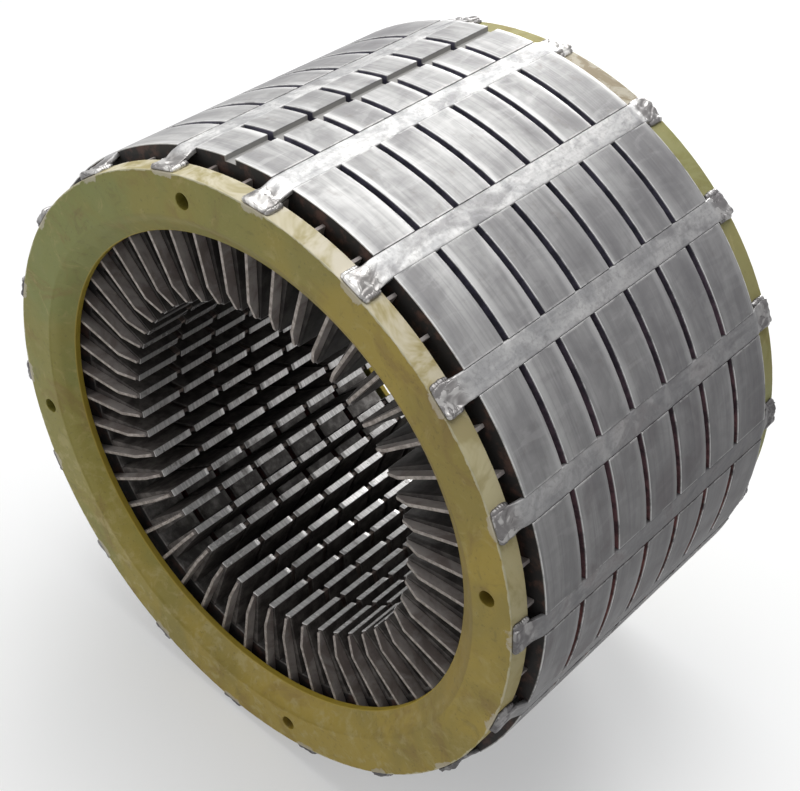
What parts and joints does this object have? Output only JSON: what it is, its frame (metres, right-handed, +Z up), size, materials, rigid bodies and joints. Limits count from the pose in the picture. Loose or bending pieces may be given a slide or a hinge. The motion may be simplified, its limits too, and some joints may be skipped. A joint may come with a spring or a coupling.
{
  "type": "stator lamination stack",
  "caption": "Stator lamination stack: packets of slotted steel sheet with air ducts between, clamped by painted pressure rings, radial fingers and flat tie bars.",
  "frame": {"origin": "on the bore axis, midway between the outer faces of the two pressure rings", "axes": "+Y along the bore axis from the front ring towards the rear ring, +Z up with a tie bar at the top and one at the bottom, +X to the right seen from the front"},
  "size_m": [0.74, 0.469, 0.7396],
  "materials": {
    "ring_paint": "satin olive yellow paint, worn",
    "lamination_steel": "sheet edges, machined and slightly dull",
    "spacer_steel": "dark, with varnish and dust",
    "finger_steel": "bare steel, brownish, dull",
    "bar_steel": "rolled flat bar, smeared",
    "weld_metal": "rough weld metal"
  },
  "bodies": {
    "root": {"front_pressure_ring": "ring_paint", "rear_pressure_ring": "ring_paint", "front_pressure_fingers": "finger_steel", "rear_pressure_fingers": "finger_steel", "lamination_packet_1": "lamination_steel", "lamination_packet_2": "lamination_steel", "lamination_packet_3": "lamination_steel", "lamination_packet_4": "lamination_steel", "lamination_packet_5": "lamination_steel", "lamination_packet_6": "lamination_steel", "lamination_packet_7": "lamination_steel", "duct_spacers_1": "spacer_steel", "duct_spacers_2": "spacer_steel", "duct_spacers_3": "spacer_steel", "duct_spacers_4": "spacer_steel", "duct_spacers_5": "spacer_steel", "duct_spacers_6": "spacer_steel", "tie_bar_01": "bar_steel", "tie_bar_02": "bar_steel", "tie_bar_03": "bar_steel", "tie_bar_04": "bar_steel", "tie_bar_05": "bar_steel", "tie_bar_06": "bar_steel", "tie_bar_07": "bar_steel", "tie_bar_08": "bar_steel", "tie_bar_09": "bar_steel", "tie_bar_10": "bar_steel", "tie_bar_11": "bar_steel", "tie_bar_12": "bar_steel", "tie_bar_13": "bar_steel", "tie_bar_14": "bar_steel", "tie_bar_15": "bar_steel", "tie_bar_16": "bar_steel", "tie_bar_17": "bar_steel", "tie_bar_18": "bar_steel", "front_bar_welds": "weld_metal", "rear_bar_welds": "weld_metal"}
  },
  "joints": []
}
